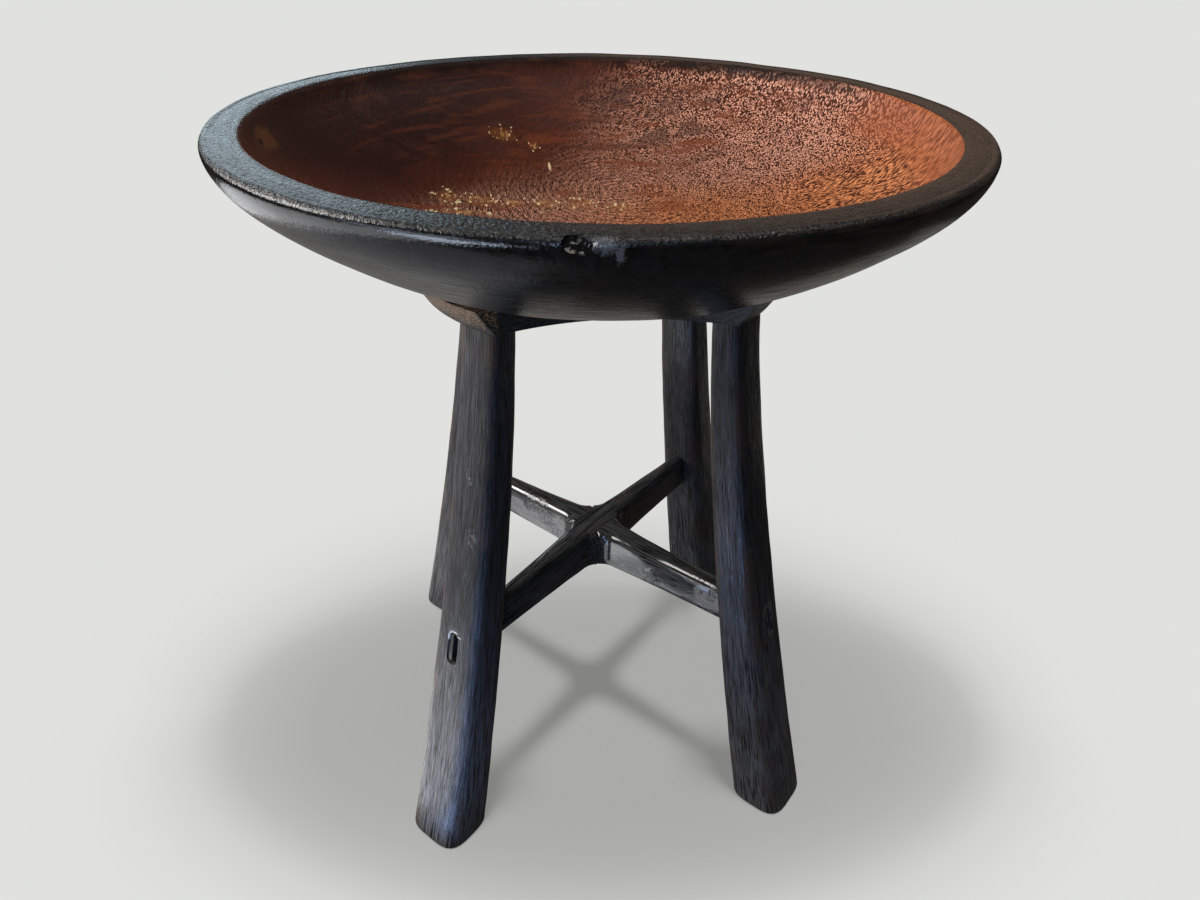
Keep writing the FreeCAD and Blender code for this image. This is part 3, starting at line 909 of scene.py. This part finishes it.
    # Painted shade: a small knot hole, not cut, drawn near black
    hole = spot(material, place, (-0.2475, -0.0096, 0.6005), (0.003, 0.005, 0.003))
    colour = mixed(material, hole, patched, (0.004, 0.003, 0.003))
    rough = ramp(material, specks, [(0.4, 0.52), (0.6, 0.34)])
    feed(material, shader, Base_Color=colour, Roughness=rough, Normal=bumped(material, specks, 0.5, 0.001))
    shader.inputs["Specular IOR Level"].default_value = 0.16
    return material


def zinc_screw():
    material, shader = start_material("zinc_screw")
    place = own_place(material)
    dull = noise(material, place, 600.0)
    feed(material, shader, Roughness=ramp(material, dull, [(0.3, 0.28), (0.7, 0.5)]))
    shader.inputs["Base Color"].default_value = (0.42, 0.42, 0.43, 1)
    shader.inputs["Metallic"].default_value = 1.0
    return material


def wedge_wood():
    """End of a wedge: dry and fibrous, painted near black as the shade of the slit it sits in."""
    material, shader = start_material("wedge_end")
    place = own_place(material)
    fibres = noise(material, stretched(material, place, (900, 900, 120)), 1.0)
    colour = ramp(material, fibres, [(0.3, (0.001, 0.001, 0.001)), (0.7, (0.005, 0.004, 0.0035))])
    feed(material, shader, Base_Color=colour, Normal=bumped(material, fibres, 0.5, 0.0006))
    shader.inputs["Roughness"].default_value = 0.75
    shader.inputs["Specular IOR Level"].default_value = 0.06
    return material


def seen_by_camera(owner, seen, unseen):
    """One shader where the camera looks straight at it, another for the light it throws."""
    straight = make_node(owner, "ShaderNodeLightPath").outputs["Is Camera Ray"]
    inputs = {"Fac": straight, 1: unseen, 2: seen}
    return make_node(owner, "ShaderNodeMixShader", inputs).outputs["Shader"]


def group_of(name, pieces):
    """Group of pieces that a lamp lights or that throw its shadow."""
    group = bpy.data.collections.new(name)
    for piece in pieces:
        group.objects.link(piece)
    return group


def paint(piece, *materials):
    piece.data.materials.clear()
    for material in materials:
        piece.data.materials.append(material)


# The table's pieces
grey_brown = (0.24, 0.22, 0.21)
# Tan of the painted highlight on the plate's upper edge
tan_highlight = (0.55, 0.33, 0.17)
black = blackened_wood(
    "blackened_legs", sheen=0.20, gloss=0.5, pale=0.055, line_depth=0.0004, worm_depth=0.0, dull=0.35,
    bare_and_highlight=grey_brown,
)
polished = blackened_wood(
    "blackened_rails", sheen=0.08, gloss=0.55, pale=0.008, line_depth=0.00002, worm_depth=0.0008, dull=0.0,
    bare_and_highlight=grey_brown,
)
# Plate: its tan edge marks are a painted highlight
highlight_edged = blackened_wood(
    "blackened_plate", sheen=0.26, gloss=0.55, pale=0.040, line_depth=0.0004, worm_depth=0.0, dull=0.35,
    bare_and_highlight=tan_highlight,
)

bowl = carve_bowl()
paint(bowl, blackened_bowl(), oiled_bowl())
for face in bowl.data.polygons:
    radius = math.hypot(face.center.x, face.center.y)
    if face.normal.z > 0 and radius < rim_edge_radius:
        face.material_index = 1
finish_piece(bowl, "bowl_wood", "bowl", angle=60)

plate = shape_plate()
paint(plate, highlight_edged)
finish_piece(plate, "black_wood", "bearer_plate")

base_pieces = []
rails = []
wedge_painted_dark = wedge_wood()
blank = leg_blank()
for number, (corner_name, leg_angle) in enumerate(leg_angles.items()):
    leg = shape_leg(corner_name, blank, leg_angle, leg_grain_step * number)
    paint(leg, black)
    finish_piece(leg, "black_wood", corner_name + "_leg", angle=50)
    base_pieces.append(leg)

for number, (rail_name, corner_name, over) in enumerate((
    ("upper_rail", "front_left", True), ("lower_rail", "front_right", False),
)):
    grain_shift = rail_grain_start + rail_grain_step * number
    rail = shape_rail("shaped_" + rail_name, blank, leg_angles[corner_name], over, grain_shift)
    paint(rail, polished)
    finish_piece(rail, "black_wood", rail_name, angle=50)
    base_pieces.append(rail)
    rails.append(rail)
bpy.data.objects.remove(blank)

wedges = [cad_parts[corner_name + "_wedge"] for corner_name in leg_angles]
# Wedge ends painted near black as the shade of their slits
for wedge in wedges:
    paint(wedge, wedge_painted_dark)
paint(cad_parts["bowl_screws"], zinc_screw())

# Floor and backdrop: paper with a painted soft oval shadow under the table, where the lamp overhead throws
# the shadows of the legs and rails; blank beyond it
backdrop_colour = (0.753, 0.760, 0.738)
shade_centre = (0.008, -0.040)
shade_turn = math.radians(-6.3)
shade_half_length = 0.419
shade_half_depth = 0.209
floor_size = 14

clear_selection()
bpy.ops.mesh.primitive_plane_add(size=floor_size)
floor = bpy.context.object
floor.name = "floor"
floor_finish = bpy.data.materials.new("floor_paper")
floor_finish.use_nodes = True
floor_finish.node_tree.nodes.clear()
in_oval = make_node(floor_finish, "ShaderNodeMapping", {
    "Vector": own_place(floor_finish), "Location": (*shade_centre, 0), "Rotation": (0, 0, shade_turn),
    "Scale": (shade_half_length, shade_half_depth, 1),
}, vector_type="TEXTURE").outputs["Vector"]
oval = length_of(floor_finish, in_oval)
depth_share = calculate(floor_finish, "DIVIDE", split(floor_finish, in_oval)["Y"], oval)
towards_back = larger(floor_finish, depth_share, 0.0)
towards_front = larger(floor_finish, product(floor_finish, depth_share, -1.0), 0.0)
softer = summed(floor_finish, towards_back, 0.7, product(floor_finish, towards_front, 0.4))
beyond = larger(floor_finish, calculate(floor_finish, "SUBTRACT", oval, 1.0), 0.0)
spread = calculate(floor_finish, "SUBTRACT", oval, product(floor_finish, beyond, softer))
pulled = product(floor_finish, calculate(floor_finish, "ABSOLUTE", depth_share), 0.065)
shade = calculate(floor_finish, "SUBTRACT", spread, pulled)
# Painted shadow: inside the oval the camera sees the lit paper, darker than the backdrop, fading to the blank
# backdrop at its edge
fade = ramp(floor_finish, product(floor_finish, shade, 0.5), [
    (0.25, 0.268), (0.325, 0.29), (0.375, 0.314), (0.425, 0.372), (0.475, 0.482),
    (0.525, 0.766), (0.575, 0.911), (0.625, 0.975), (0.675, 0.99), (0.72, 1.0),
])
paper = make_node(floor_finish, "ShaderNodeBsdfDiffuse", {"Color": (0.80, 0.80, 0.785, 1)}).outputs["BSDF"]
glow = make_node(floor_finish, "ShaderNodeEmission", {"Color": (*backdrop_colour, 1)}).outputs["Emission"]
dark = make_node(floor_finish, "ShaderNodeBsdfDiffuse", {"Color": (0.13, 0.11, 0.10, 1)}).outputs["BSDF"]
seen_floor = make_node(floor_finish, "ShaderNodeMixShader", {"Fac": fade, 1: paper, 2: glow})
whole_floor = seen_by_camera(floor_finish, seen_floor.outputs["Shader"], dark)
make_node(floor_finish, "ShaderNodeOutputMaterial", {"Surface": whole_floor})
paint(floor, floor_finish)

world = bpy.data.worlds.new("studio")
bpy.context.scene.world = world
world.use_nodes = True
world.node_tree.nodes.clear()
soft_light = make_node(world, "ShaderNodeBackground", {"Color": (0.95, 0.97, 1.0, 1), "Strength": 0.06})
seen = make_node(world, "ShaderNodeBackground", {"Color": (*backdrop_colour, 1), "Strength": 1.0})
backdrop = seen_by_camera(world, seen.outputs["Background"], soft_light.outputs["Background"])
make_node(world, "ShaderNodeOutputWorld", {"Surface": backdrop})

# Light: windows that light the table, and a lamp overhead that lights the paper
table_group = group_of("lit_table", [bowl, plate] + base_pieces + wedges)
floor_group = group_of("lit_floor", [floor])
base_group = group_of("shading_base", base_pieces)
bowl_group = group_of("bowl_and_plate", [bowl, plate])
rails_group = group_of("polished_rails", rails)


def soft_box(name, place, target, width, height, power, colour, lights):
    """Rectangular studio lamp aimed at a point, lighting one group of pieces."""
    lamp_data = bpy.data.lights.new(name, "AREA")
    lamp_data.shape = "RECTANGLE"
    lamp_data.size = width
    lamp_data.size_y = height
    lamp_data.energy = power
    lamp_data.color = colour
    lamp = bpy.data.objects.new(name, lamp_data)
    lamp.location = place
    lamp.rotation_mode = "QUATERNION"
    lamp.rotation_quaternion = (Vector(target) - Vector(place)).to_track_quat("-Z", "Y")
    lamp.visible_camera = False
    bpy.context.scene.collection.objects.link(lamp)
    lamp.light_linking.receiver_collection = lights
    return lamp


table_middle = (0, 0, 0.45)
bowl_middle = (0, 0, 0.6)
daylight = (1.0, 0.97, 0.94)
floor_white = (0.95, 0.96, 1.0)
sky_blue = (0.22, 0.44, 1.0)
soft_box("window_left", (-2.4, 0.3, 1.35), table_middle, 1.5, 1.3, 66, daylight, table_group)
soft_box("window_behind", (-0.98, 2.3, 1.2), bowl_middle, 1.25, 1.1, 8.8, (0.74, 0.90, 1.0), table_group)
soft_box("wall_behind", (1.1, 2.4, 1.1), bowl_middle, 2.0, 1.0, 1.7, (1.0, 0.64, 0.43), table_group)
soft_box("ceiling", (0.2, -0.2, 2.7), table_middle, 1.6, 1.6, 24, (1.0, 0.95, 0.9), table_group)
soft_box("window_front", (-0.55, -2.6, 1.1), table_middle, 0.35, 1.4, 9, (0.55, 0.72, 1.0), table_group)
soft_box("window_front_left", (-2.05, -0.45, 1.7), (0, 0, 0.22), 1.8, 1.1, 75, daylight, rails_group)
soft_box("window_low", (-1.95, -1.35, 0.42), (0, 0, 0.55), 1.5, 0.5, 6, (0.78, 0.86, 1.0), bowl_group)

# Bright patches of floor, each at its own height so that none hides another
lowest_glow = 0.001
glow_step = 0.0004
floor_glows = {
    "far_left": ((-1.40, 0.20), (1.15, 2.0), 12.0, floor_white, bowl_group),
    "front_left": ((-1.35, -1.25), (1.0, 0.88), 24.0, (0.72, 0.83, 1.0), bowl_group),
    "far_left_low": ((-1.40, 0.20), (1.15, 2.0), 9.5, floor_white, base_group),
    "near_left": ((-0.50, -0.10), (0.60, 0.9), 0.6, floor_white, table_group),
    "by_leg": ((-0.365, -0.20), (0.30, 0.42), 0.75, floor_white, base_group),
    "by_rails": ((-0.24, -0.10), (0.30, 0.4), 0.7, floor_white, rails_group),
    "front_strip": ((-0.19, -0.605), (0.055, 0.49), 1.1, sky_blue, base_group),
    "front_strip_near": ((-0.19, -0.28), (0.020, 0.15), 0.09, sky_blue, base_group),
    "behind": ((0.05, 0.75), (2.0, 0.95), 1.5, (1.0, 0.95, 0.86), table_group),
}
for number, (name, (middle, (across, deep), power, tint, lights)) in enumerate(floor_glows.items()):
    level = lowest_glow + glow_step * number
    soft_box("lit_floor_" + name, (*middle, level), (*middle, 1), across, deep, power, tint, lights)
overhead = soft_box("paper_lamp", (0, 0, 3.0), (0, 0, 0), 0.30, 0.30, 26, (1.0, 1.0, 1.0), floor_group)
overhead.light_linking.blocker_collection = base_group

# Camera, at the photograph's viewing angle
camera_place = (-0.0888, -0.6665, 0.7528)
camera_heading = math.radians(-7.91)
camera_pitch = math.radians(33.15)
camera_roll = math.radians(1.11)
photo_width = 1200
focal_pixels = 850.24
film_width = 36

camera_data = bpy.data.cameras.new("photo_view")
camera_data.sensor_fit = "HORIZONTAL"
camera_data.sensor_width = film_width
camera_data.lens = film_width * focal_pixels / photo_width
camera_data.clip_start = 0.01
camera = bpy.data.objects.new("photo_view", camera_data)
bpy.context.scene.collection.objects.link(camera)
place = Matrix.Translation(camera_place)
aim = Matrix.Rotation(camera_heading, 4, "Z") @ Matrix.Rotation(math.radians(90) - camera_pitch, 4, "X")
camera.matrix_world = place @ aim @ Matrix.Rotation(camera_roll, 4, "Z")
bpy.context.scene.camera = camera
bpy.context.scene.view_settings.view_transform = "Standard"
